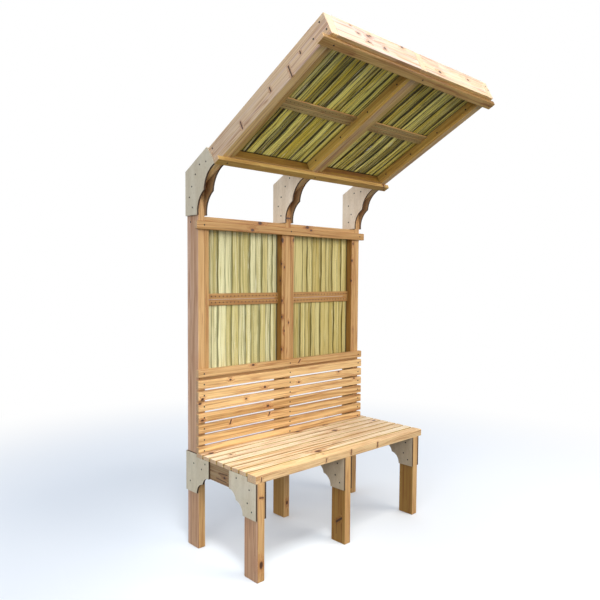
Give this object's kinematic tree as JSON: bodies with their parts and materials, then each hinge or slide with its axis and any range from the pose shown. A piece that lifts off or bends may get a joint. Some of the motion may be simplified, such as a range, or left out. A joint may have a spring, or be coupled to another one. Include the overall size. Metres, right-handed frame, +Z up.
{
  "type": "bus shelter",
  "caption": "Open timber bus shelter with ribs of post, leg and rafter tied by scalloped plywood plates, a slatted bench, and lath screens behind and overhead.",
  "frame": {"origin": "middle of the middle post's foot, on the ground", "axes": "+X to the right along the bench as a sitter's visitor faces it, +Y to the back, +Z up"},
  "size_m": [1.182, 0.924, 2.2154],
  "materials": {
    "pine": "planed, unfinished, knotty",
    "plywood": "bare faces, dark scorched cut edges",
    "riven_lath": "riven, rough",
    "screw_steel": "dark screw and pin heads"
  },
  "bodies": {
    "root": {"left_post": "pine", "left_leg": "pine", "left_bearer": "pine", "left_rafter": "pine", "left_canopy_plates": "plywood", "left_rear_seat_plates": "plywood", "left_front_seat_plates": "plywood", "middle_post": "pine", "middle_leg": "pine", "middle_bearer": "pine", "middle_rafter": "pine", "middle_canopy_plates": "plywood", "middle_rear_seat_plates": "plywood", "middle_front_seat_plates": "plywood", "right_post": "pine", "right_leg": "pine", "right_bearer": "pine", "right_rafter": "pine", "right_canopy_plates": "plywood", "right_rear_seat_plates": "plywood", "right_front_seat_plates": "plywood", "seat_nosing": "pine", "seat_slats": "pine", "backrest_rail": "pine", "back_slats": "pine", "back_batten": "pine", "canopy_front_batten": "pine", "canopy_rear_batten": "pine", "back_head_rails": "pine", "back_sill_rails": "pine", "back_stiles": "pine", "back_lath_strips": "pine", "canopy_fascias": "pine", "canopy_rear_rails": "pine", "canopy_stiles": "pine", "canopy_lath_strips": "pine", "back_upper_left_laths": "riven_lath", "back_upper_right_laths": "riven_lath", "back_lower_left_laths": "riven_lath", "back_lower_right_laths": "riven_lath", "canopy_front_left_laths": "riven_lath", "canopy_front_right_laths": "riven_lath", "canopy_rear_left_laths": "riven_lath", "canopy_rear_right_laths": "riven_lath"}
  },
  "joints": []
}
